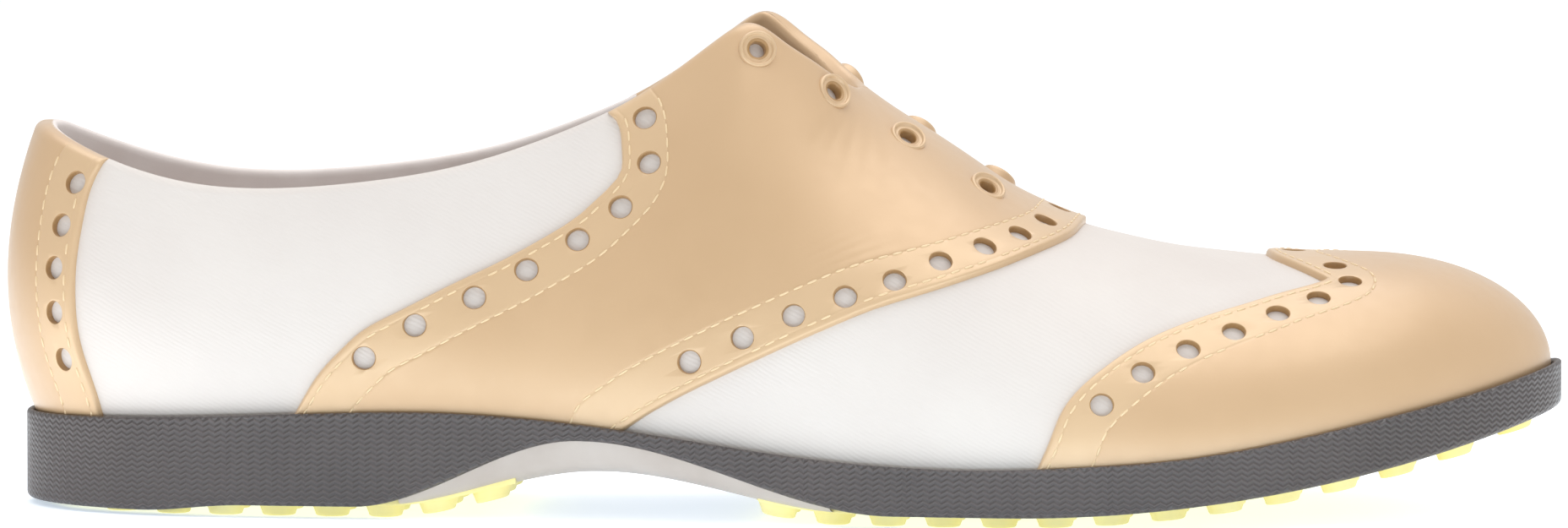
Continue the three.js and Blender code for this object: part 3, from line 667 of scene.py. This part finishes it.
def upper():
    shell = Facets()
    half = UPPER_WALL / 2
    for side in SIDES:
        p, t = np.meshgrid(UPPER_P, UPPER_T, indexing="ij")
        to_collar = collar_distance(p, t, side)
        fall = rounding(half, to_collar)
        face = raised(p, t, side, -fall)
        back = raised(p, t, side, fall - UPPER_WALL)
        in_flap = (p > FLAP_START) & (to_collar < FLAP_LINING)
        shell.grid(face, np.where(in_flap & (to_collar < half) & (p < THROAT), 3, 0)[1:, 1:])
        shell.grid(back, np.where(in_flap, 3, 1)[1:, 1:])
        shell.grid(np.stack([face[:, 0], back[:, 0]], 1), 0)
    obj = shell.object("upper", [white_look, lining_look, shaded_bore_look, gold_look])
    drill(obj, heel_places + saddle_places + toe_places, 2)
    return obj


# ---- the overlays -------------------------------------------------------------------------------
STRIP_WIDTH = 9.5
STITCH_IN = 1.8
SUNK = 0.15  # an overlay's back lies this far inside the upper
EDGE_STEPS = [0, 0.05, 0.14, 0.28, 0.46, 0.7, 1.1, 1.35, 1.5, 1.65, 1.8, 1.95, 2.1, 2.3]
LINE_STEPS = [-0.5, -0.3, -0.15, 0, 0.15, 0.3, 0.5]
STRIP_STEPS = EDGE_STEPS + [3.6, 5, 6.4, 7.8] + [STRIP_WIDTH + step for step in LINE_STEPS]
EDGE_ROUND = 0.7


def overlay_height(inward, collar):
    """Height of an overlay's face above the skin, by the distances to its edge and to the collar."""
    upper_fall = rounding(UPPER_WALL / 2, collar)
    top = OVERLAY_FACE - rounding(1.6, collar) + upper_fall
    edge = np.sqrt(np.maximum(1 - (1 - np.clip(inward / EDGE_ROUND, 0, 1)) ** 2, 0))
    groove = 0.08 * np.exp(-(((inward - STITCH_IN) / 0.22) ** 2))
    groove += 0.1 * np.exp(-(((inward - STRIP_WIDTH) / 0.22) ** 2))
    return -upper_fall - SUNK + (top + SUNK) * edge - groove


def strip_columns(edge, direction, limit, ts, steps):
    """p of the curves that run at each of steps inside an overlay's edge, for both sides: the result
    is [side][step, row]. direction is +1 where the overlay lies towards the toe from its edge."""
    found = {}
    for side in SIDES:
        fine = np.linspace(0, 1, 600)
        line = skin(edge(fine), fine, side)
        spread = np.linspace(0, limit, 70)
        p = edge(ts)[None] + direction * spread[:, None]
        away = distance_to(line, skin(np.clip(p, 0, 1), ts[None], side))
        away = np.maximum.accumulate(away, 0)
        rows = [np.interp(steps, away[:, j], p[:, j]) for j in range(len(ts))]
        found[side] = np.stack(rows, 1)
    return found


def end_at(field, tops, ts):
    """Bends columns near their upper ends so that they end at tops."""
    return field + (tops - field[:, -1])[:, None] * ease(0.8, 1, ts)[None]


def join_on_ridge(columns, ts):
    """Makes the two sides' columns agree at t = 1, where they meet on the ridge."""
    mean = (columns[LATERAL_SIDE][:, -1] + columns[MEDIAL_SIDE][:, -1]) / 2
    for side in SIDES:
        columns[side] = end_at(columns[side], mean, ts)


def overlay(name, columns, inward, ts, collar_columns, places):
    """A skin over part of the upper, perforated at places. columns[side] is p for each column and row,
    and inward[column] its distance from the nearer edge. The first collar_columns columns end on the
    collar and the others on the ridge."""
    shell = Facets()
    slots = np.where((inward[:-1] + inward[1:]) / 2 < STRIP_WIDTH, 1, 0)[:, None]
    for side in SIDES:
        p = columns[side]
        t = np.broadcast_to(ts[None], p.shape)
        collar = collar_distance(p, t, side)
        face = raised(p, t, side, overlay_height(inward[:, None], collar))
        back = raised(p, t, side, -rounding(UPPER_WALL / 2, collar) - SUNK)
        shell.grid(face, slots)
        shell.grid(back, 0)
        shell.grid(np.stack([face[:, 0], back[:, 0]], 1), 0)
        if collar_columns:
            shell.grid(np.stack([face[:collar_columns, -1], back[:collar_columns, -1]], 1), 0)
    obj = shell.object(name, [gold_look, strip_look, shaded_bore_look])
    drill(obj, places, 2)
    return obj


DASH = (1.05, 0.26, 0.26)  # half length, half width and height of one moulded stitch
DASH_PITCH = 2.9
DASH_CLEARANCE = PERFORATION_RADIUS + DASH[0] + 0.3  # from a dash's centre to a hole's
RIM_CLEARANCE = 2.2  # no dash is nearer to the collar than this


def dash_template():
    """A closed capsule: rings of points along x."""
    turn = np.linspace(0, 2 * np.pi, 9)
    along = np.array([-1, -0.94, -0.78, -0.4, 0.4, 0.78, 0.94, 1])[:, None]
    radius = np.sqrt(np.maximum(1 - np.abs(along) ** 4, 0))
    ring = [along + 0 * turn, radius * np.cos(turn), radius * np.sin(turn)]
    return np.stack(ring, -1) * DASH


def stitches(facets, columns, ts, inward, places):
    """Raised dashes along one column of an overlay on both sides, left out beside its holes."""
    template = dash_template()
    for side in SIDES:
        p = columns[side]
        points = skin(p, ts, side)
        length = arc_lengths(points)
        count = int(length[-1] / DASH_PITCH)
        middles = (np.arange(count) + 0.5) * length[-1] / count
        dash_p = np.interp(middles, length, p)
        dash_t = np.interp(middles, length, ts)
        collar = collar_distance(dash_p, dash_t, side)
        clear = collar > RIM_CLEARANCE
        for hole_p, hole_t, hole_side in places:
            if hole_side == side or hole_t == 1:
                span = np.linalg.norm(skin(dash_p, dash_t, side) - skin(hole_p, hole_t, hole_side), axis=-1)
                clear &= span > DASH_CLEARANCE
        seat = overlay_height(inward, collar)
        centre = raised(dash_p, dash_t, side, seat)
        normal = skin_normal(dash_p, dash_t, side)
        ahead, behind = (
            np.stack([np.interp(middles + shift, length, points[:, i]) for i in range(3)], -1)
            for shift in (0.6, -0.6)
        )
        along = ahead - behind
        along = unit(along - normal * (along * normal).sum(-1, keepdims=True))
        across = np.cross(normal, along)
        for k in np.nonzero(clear)[0]:
            axes = np.stack([along[k], across[k], normal[k]])
            facets.grid(template @ axes + centre[k])


def column_at(columns, inward, distance):
    k = int(np.argmin(np.abs(inward - distance)))
    return {side: columns[side][k] for side in SIDES}


def heel_counter():
    edge = spline(HEEL_COUNTER_EDGE)
    ts = UPPER_T
    steps = np.array(STRIP_STEPS)
    strips = strip_columns(edge, -1, 0.12, ts, steps)
    inner = np.linspace(0, 1, 12)[:-1]
    columns = {
        side: np.concatenate([inner[:, None] * strips[side][-1][None], strips[side][::-1]])
        for side in SIDES
    }
    inward = np.concatenate([np.linspace(25, 12, 11), steps[::-1]])
    obj = overlay("heel_counter_skin", columns, inward, ts, len(inward), heel_places)
    thread = Facets()
    for distance in (STITCH_IN, STRIP_WIDTH):
        stitches(thread, column_at(columns, inward, distance), ts, distance, heel_places)
    return obj, thread


def saddle():
    rear, front = spline(SADDLE_REAR_EDGE), spline(SADDLE_FRONT_EDGE)
    ts = UPPER_T
    steps = np.array(STRIP_STEPS)
    rears = strip_columns(rear, 1, 0.11, ts, steps)
    fronts = strip_columns(front, -1, 0.11, ts, steps)
    join_on_ridge(fronts, ts)
    count = 84
    share = np.linspace(0, 1, count + 2)[1:-1, None]
    columns = {}
    for side in SIDES:
        a, b = rears[side][-1][None], fronts[side][-1][None]
        field = a + (b - a) * share
        if side == LATERAL_SIDE:
            tops = field[:, -1]
        columns[side] = np.concatenate([rears[side], end_at(field, tops, ts), fronts[side][::-1]])
    inward = np.concatenate([steps, np.full(count, 14.0), steps[::-1]])
    throat = int(np.argmin(np.abs(columns[LATERAL_SIDE][:, -1] - THROAT)))
    for side in SIDES:
        columns[side][throat, -1] = THROAT
    obj = overlay("saddle_skin", columns, inward, ts, throat + 1, saddle_places)
    thread = Facets()
    for distance in (STITCH_IN, STRIP_WIDTH):
        stitches(thread, column_at(rears, steps, distance), ts, distance, saddle_places)
        stitches(thread, column_at(fronts, steps, distance), ts, distance, saddle_places)
    return obj, thread


def toe_cap():
    wing, peak = spline(TOE_CAP_WING), spline(TOE_CAP_PEAK)
    corner = TOE_CAP_PEAK[0][0]

    def edge(t):
        return np.where(t < corner, wing(t), peak(t))

    ts = np.concatenate([np.linspace(0, corner, 46), np.linspace(corner, 1, 26)[1:]])
    steps = np.array(STRIP_STEPS)
    strips = strip_columns(edge, 1, 0.12, ts, steps)
    join_on_ridge(strips, ts)
    count = 48
    share = np.linspace(0, 1, count + 1)[1:, None]
    columns = {
        side: np.concatenate([strips[side], strips[side][-1] + (1 - strips[side][-1])[None] * share])
        for side in SIDES
    }
    inward = np.concatenate([steps, np.full(count, 14.0)])
    obj = overlay("toe_cap_skin", columns, inward, ts, 0, toe_places)
    thread = Facets()
    for distance in (STITCH_IN, STRIP_WIDTH):
        stitches(thread, column_at(columns, inward, distance), ts, distance, toe_places)
    return obj, thread


EYELET_TILT = 0.3  # the rings lean outwards from the skin by this share
EYELET_BORE = 1.6
EYELET_BARREL = 2.2


def eyelet(name, place, side):
    """A grommet: rounded outer bead, a groove, and a funnel down to the bore."""
    seat = OVERLAY_FACE
    profile = [
        (1.55, -UPPER_WALL), (EYELET_BARREL, -UPPER_WALL), (EYELET_BARREL, seat - 2), (3.75, seat - 2),
        (3.75, seat + 0.2),
        (3.7, seat + 0.55), (3.55, seat + 0.8), (3.32, seat + 0.9), (3.1, seat + 0.82), (2.95, seat + 0.6),
        (2.85, seat + 0.38), (2.72, seat + 0.3), (2.5, seat + 0.3), (2.2, seat + 0.33), (1.9, seat + 0.3),
        (1.72, seat + 0.18), (EYELET_BORE, seat - 0.1), (1.55, seat - 0.5), (1.55, -UPPER_WALL),
    ]
    centre, axes = frame_on_skin(*place, side, EYELET_TILT)
    ring = Facets()
    # The bore's faces take the darker gold, which is painted shade inside the eyelet.
    in_bore = [radius <= EYELET_BORE + 0.3 for radius, _ in profile[1:]]
    ring.grid(revolve(profile, 40) @ axes + centre, np.array(in_bore, int)[:, None])
    return ring.object(name, [strip_look, shaded_bore_look], 50)


def eyelet_drills(obj):
    """Cuts the seats of the eyelets' barrels through obj."""
    radius = EYELET_BARREL - 0.05
    bit = revolve([(0, -BORE_REACH), (radius, -BORE_REACH), (radius, BORE_REACH), (0, BORE_REACH)], 32)
    cutter = Facets()
    for p, t, side in on_both_sides(EYELETS):
        centre, axes = frame_on_skin(p, t, side, EYELET_TILT)
        cutter.grid(bit @ axes + centre, 2)
    cut(obj, cutter.object("cutter", obj.data.materials))


# ---- the sole -----------------------------------------------------------------------------------
def slab(phases, rings, slots=0):
    """A slab that follows the sole outline, its halves joined straight across."""
    facets = Facets()
    halves = []
    for turned in (phases, 2 * np.pi - phases):
        rows = []
        for inset, base, offset in rings:
            place = outline(turned, inset)
            rows.append(np.concatenate([place, (base(place[:, 0]) + offset)[:, None]], -1))
        halves.append(np.stack(rows, 1))
    lateral, medial = halves
    ring = np.concatenate([lateral, medial[:, ::-1], lateral[:, :1]], 1)
    facets.grid(ring, slots)
    for end in (0, -1):
        facets.grid(np.stack([lateral[end], medial[end]], 1))
    return facets


def plate_phases(studs, gap, count=90):
    first, last = studs
    start = 0 if first < MID_X - HALF_LENGTH / 2 else phase_at(first - PLATE_MARGIN - gap)
    end = math.pi if last > MID_X + HALF_LENGTH / 2 else phase_at(last + PLATE_MARGIN + gap)
    return np.linspace(start, end, count)


def pocket(studs):
    """Space that a tread plate fills, open below."""
    rings = [
        (PLATE_INSET - 0.05, bottom_z, PLATE_THICK + 0.05),
        (PLATE_INSET - 0.05, bottom_z, -STUD_REACH),
    ]
    return slab(plate_phases(studs, 0.05), rings).object("pocket", [])


WHOLE = np.linspace(0, np.pi, 260)


def outsole():
    rings = [(LIP_GROOVE, lip_z, -LIP_DEPTH)]
    lip = LIP_GROOVE / 2
    turn = np.linspace(0, np.pi, 9)
    rings += [(lip + lip * math.cos(a), lip_z, lip * (math.sin(a) - 1)) for a in turn]
    wall_rows = 8
    for k in np.linspace(0, 1, wall_rows + 1)[1:-1]:
        rings.append((0, lambda x, k=k: (lip_z(x) - lip) * (1 - k) + (side_bottom_z(x) + 1.2) * k, 0))
    turn = np.linspace(0, np.pi / 2, 6)
    rings += [(1.2 - 1.2 * math.cos(a), side_bottom_z, 1.2 - 1.2 * math.sin(a)) for a in turn]
    obj = slab(WHOLE, rings).object("outsole_body", [sidewall_look])
    cut(obj, pocket(HEEL_STUDS), pocket(FOREFOOT_STUDS))
    add_flow(obj)
    return obj


def add_flow(obj):
    """Stores each point's distance along the outline, from the heel on either side, and its height."""
    points = np.zeros(len(obj.data.vertices) * 3, np.float32)
    obj.data.vertices.foreach_get("co", points)
    points = points.reshape(-1, 3) / MM
    phases = np.linspace(0, 2 * np.pi, 1600)
    line = outline_point(phases)
    lateral = np.linspace(0, 1, 800)
    length = arc_lengths(outline_point(lateral * np.pi))
    batch = 2048
    nearest = np.concatenate([
        ((points[i : i + batch, None, :2] - line) ** 2).sum(-1).argmin(-1)
        for i in range(0, len(points), batch)
    ])
    along = np.minimum(phases[nearest], 2 * np.pi - phases[nearest]) / np.pi
    flow = np.stack([np.interp(along, lateral, length), points[:, 2], np.zeros(len(points))], -1)
    attribute = obj.data.attributes.new("flow", "FLOAT_VECTOR", "POINT")
    attribute.data.foreach_set("vector", flow.astype(np.float32).ravel())


def arch_shank():
    """The white piece under the waist, with a hollow cove along each side."""
    share = spline([(1.2, 0), (2.4, 0.45), (5, 0.85), (9, 1)])
    rings = []
    for inset in (1.2, 1.5, 1.8, 2.2, 2.7, 3.3, 4, 5, 6.2, 7.5, 9):
        k = float(share(inset))
        rings.append((inset, lambda x, k=k: (side_bottom_z(x) + 0.1) * (1 - k) + bottom_z(x) * k, 0))
    start, end = (phase_at(x) for x in SHANK)
    obj = slab(np.linspace(start, end, 120), rings).object("arch_body", [arch_look])
    cut(obj, pocket(HEEL_STUDS), pocket(FOREFOOT_STUDS))
    return obj


def inset_y(x, inset, side):
    low, high = 0.0, math.pi
    for _ in range(40):
        middle = (low + high) / 2
        if outline(np.float64(middle if side < 0 else 2 * math.pi - middle), inset)[0] < x:
            low = middle
        else:
            high = middle
    return outline(np.float64(low if side < 0 else 2 * math.pi - low), inset)[1]


def stud_centres(studs):
    first, last = studs
    centres = []
    for x in np.linspace(first, last, round((last - first) / STUD_PITCH) + 1):
        low, high = (inset_y(x, STUD_INSET, side) for side in SIDES)
        across = round((high - low) / STUD_SPREAD)
        ys = [(low + high) / 2] if across < 1 else np.linspace(low, high, across + 1)
        centres += [(x, y) for y in ys]
    return centres


def tread(name, studs):
    round_edge = 0.4
    rings = [(PLATE_INSET, bottom_z, PLATE_THICK)]
    turn = np.linspace(0, np.pi / 2, 5)
    rings += [
        (PLATE_INSET + round_edge * (1 - math.cos(a)), bottom_z, round_edge * (1 - math.sin(a))) for a in turn
    ]
    facets = slab(plate_phases(studs, 0), rings)
    radius = STUD_DIAMETER / 2
    foot = radius - 0.5
    fillet = 0.6
    profile = [(radius + 0.5, 0.02), (radius + 0.12, -0.12), (radius, -0.5)]
    profile += [
        (foot - fillet * (1 - math.cos(a)), -STUD_REACH + fillet * (1 - math.sin(a)))
        for a in np.linspace(0, np.pi / 2, 5)
    ]
    profile += [(foot * 0.55, -STUD_REACH), (0, -STUD_REACH)]
    profile = [(0, 0.6 * PLATE_THICK), (radius + 0.5, 0.6 * PLATE_THICK)] + profile
    stud = revolve(profile, 28)
    for x, y in stud_centres(studs):
        placed = stud + np.array([x, y, 0])
        placed[..., 2] += bottom_z(placed[..., 0])
        facets.grid(placed)
    return facets.object(name, [tread_look], 50)


def footbed():
    floor_rise = BOARD_THICK + 2 * GAP - LIP_DEPTH

    def cup(x):
        return HEEL_CUP_RISE * (1 - ease(-70, -10, x))

    def rim(share):
        return lambda x: lip_z(x) + floor_rise + FOOTBED_THICK + share * cup(x)

    def floor(x):
        return lip_z(x) + floor_rise

    rise = spline([(0, 0.97), (1.2, 1), (5, 0.6), (9, 0.2), (14, 0)])
    rings = [
        (FOOTBED_INSET + inset, rim(float(rise(inset))), 0) for inset in (14, 12, 10, 8.5, 7, 5.5, 4, 2.8, 2)
    ]
    turn = np.linspace(np.pi / 2, 0, 6)
    edge = 1.2
    rings += [(FOOTBED_INSET + edge * (1 - math.cos(a)), rim(1), edge * (math.sin(a) - 1)) for a in turn]
    rings += [(FOOTBED_INSET, floor, 1.2), (FOOTBED_INSET, floor, 0.3), (FOOTBED_INSET + 0.3, floor, 0)]
    slots = np.zeros((1, 2 * len(rings)), int)
    side = len(rings) - 4
    slots[0, side : 2 * len(rings) - side - 1] = 1
    return slab(WHOLE, rings, slots).object("footbed_pad", [cloth_look, foam_look], 60)


# ---- the shoe -----------------------------------------------------------------------------------
def place(obj, body, slot, *nodes):
    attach(obj, body)
    if nodes:
        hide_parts(*nodes)
    return obj


upper_obj = upper()
eyelet_drills(upper_obj)
place(upper_obj, "shoe", "white_upper", "upper_shell")
for build, node in ((heel_counter, "heel_counter"), (saddle, "saddle"), (toe_cap, "toe_cap")):
    obj, thread = build()
    if node == "saddle":
        eyelet_drills(obj)
    place(obj, "shoe", "gold_overlay", node)
    place(thread.object(f"{node}_stitches", [lit_stitch_look], 60), "shoe", "gold_overlay")
for side_name, side in (("lateral", LATERAL_SIDE), ("medial", MEDIAL_SIDE)):
    for i, spot in enumerate(EYELETS, 1):
        node = f"eyelet_{side_name}_{i}"
        place(eyelet(f"{node}_ring", spot, side), "shoe", "gold_overlay", node)
place(outsole(), "shoe", "brown_sidewall", "outsole")
place(arch_shank(), "shoe", "white_arch", "arch_shank")
place(tread("heel_tread_plate", HEEL_STUDS), "shoe", "yellow_tread", "heel_tread")
place(tread("forefoot_tread_plate", FOREFOOT_STUDS), "shoe", "yellow_tread", "forefoot_tread")
footbed_obj = place(footbed(), "footbed", "footbed_foam", "footbed")
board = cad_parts["lasting_board"]
board.data.materials.clear()
board.data.materials.append(board_look)


# ---- camera, light and floor --------------------------------------------------------------------
AZIMUTH, ELEVATION = math.radians(4.5), math.radians(4.2)
VIEW_WIDTH = 0.309
AIM = Vector((-0.00025, 0, 0.04773))
CAMERA_DISTANCE = 3.0

camera = bpy.data.objects.new("camera", bpy.data.cameras.new("camera"))
back = Vector((
    math.sin(AZIMUTH) * math.cos(ELEVATION), -math.cos(AZIMUTH) * math.cos(ELEVATION), math.sin(ELEVATION)
))
camera.location = AIM + back * CAMERA_DISTANCE
camera.rotation_mode = "QUATERNION"
camera.rotation_quaternion = (-back).to_track_quat("-Z", "Y")
camera.data.lens = camera.data.sensor_width * CAMERA_DISTANCE / VIEW_WIDTH
bpy.context.scene.collection.objects.link(camera)
bpy.context.scene.camera = camera


def area_light(name, place, aim, size, power, colour=(1, 1, 1)):
    data = bpy.data.lights.new(name, "AREA")
    data.shape = "RECTANGLE"
    data.size, data.size_y = size
    data.energy = power
    data.color = colour
    light = bpy.data.objects.new(name, data)
    light.visible_camera = False
    light.location = place
    light.rotation_mode = "QUATERNION"
    light.rotation_quaternion = (Vector(aim) - Vector(place)).to_track_quat("-Z", "Y")
    bpy.context.scene.collection.objects.link(light)


COOL = (0.72, 0.9, 1)
area_light("top_softbox", (0.15, 0.05, 1.1), (0.05, 0, 0.03), (1.4, 1.0), 7)
area_light("low_strip_lateral", (0, -0.16, 0.004), (0, 0, 0.02), (0.42, 0.02), 0.1, COOL)
area_light("low_strip_medial", (0, 0.16, 0.004), (0, 0, 0.02), (0.42, 0.02), 0.03, COOL)
area_light("heel_strip", (-0.2, -0.07, 0.008), (-0.14, -0.02, 0.01), (0.14, 0.02), 0.02)


def studio_world():
    """Even light that is a little stronger from above and from the medial side."""
    world = bpy.data.worlds.new("studio")
    world.use_nodes = True
    nodes, links = world.node_tree.nodes, world.node_tree.links
    background = nodes["Background"]
    background.inputs["Color"].default_value = srgb(252, 251, 250)
    direction = nodes.new("ShaderNodeTexCoord").outputs["Generated"]
    tilt = nodes.new("ShaderNodeVectorMath")
    tilt.operation = "DOT_PRODUCT"
    tilt.inputs[1].default_value = (0, 0.1, 0.35)
    links.new(direction, tilt.inputs[0])
    strength = nodes.new("ShaderNodeMath")
    strength.operation = "ADD"
    strength.inputs[1].default_value = 0.67
    links.new(tilt.outputs["Value"], strength.inputs[0])
    links.new(strength.outputs[0], background.inputs["Strength"])
    return world


bpy.context.scene.world = studio_world()
bpy.context.scene.view_settings.view_transform = "Standard"

FLOOR_REACH = 6
corners = [(x * FLOOR_REACH, y * FLOOR_REACH, 0) for x, y in ((-1, -1), (1, -1), (1, 1), (-1, 1))]
floor_data = bpy.data.meshes.new("floor")
floor_data.from_pydata(corners, [], [(0, 1, 2, 3)])
floor = bpy.data.objects.new("floor", floor_data)
floor_look = Material("pale_floor", srgb(250, 249, 247), 0.6)
floor_look.mottle(floor_look.noise(3), srgb(249, 248, 246), srgb(252, 251, 250))
radius = floor_look.node("ShaderNodeVectorMath", {0: floor_look.place}, operation="LENGTH").outputs["Value"]
# The floor glows, most strongly around the shoe. This is a painted pool of light that lights the shoe's lower
# parts from below and fills in its contact shadow.
painted_light_pool = floor_look.node(
    "ShaderNodeMapRange",
    {"Value": radius, "From Min": 0.12, "From Max": 0.6, "To Min": 0.58, "To Max": 0.17},
    interpolation_type="SMOOTHSTEP",
).outputs[0]
floor_look.shader.inputs["Emission Color"].default_value = srgb(222, 238, 255)
floor_look.links.new(painted_light_pool, floor_look.shader.inputs["Emission Strength"])
floor_data.materials.append(floor_look.material)
bpy.context.scene.collection.objects.link(floor)
